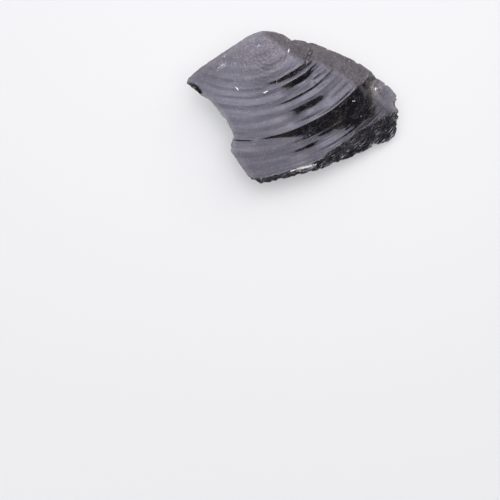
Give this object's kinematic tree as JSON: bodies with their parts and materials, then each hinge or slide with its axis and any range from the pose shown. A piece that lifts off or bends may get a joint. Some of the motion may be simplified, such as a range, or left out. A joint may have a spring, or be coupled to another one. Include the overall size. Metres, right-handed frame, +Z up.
{
  "type": "obsidian chunk",
  "caption": "Rough chunk of black volcanic glass with a rippled shell-like fracture on top, stepped ledges, sharp edges and a flat fracture to rest on.",
  "frame": {"origin": "under the middle of the chunk's bounding box, on the surface it rests on", "axes": "+X along the chunk's length towards its blunt thick-stepped end, +Y towards the back edge where the blow landed, +Z up out of the rippled face"},
  "size_m": [0.0619, 0.0425, 0.0176],
  "materials": {
    "obsidian": "broken volcanic glass: near black, glossy, with fine ripples and matt crushed patches"
  },
  "bodies": {
    "root": {"obsidian_chunk": "obsidian"}
  },
  "joints": []
}
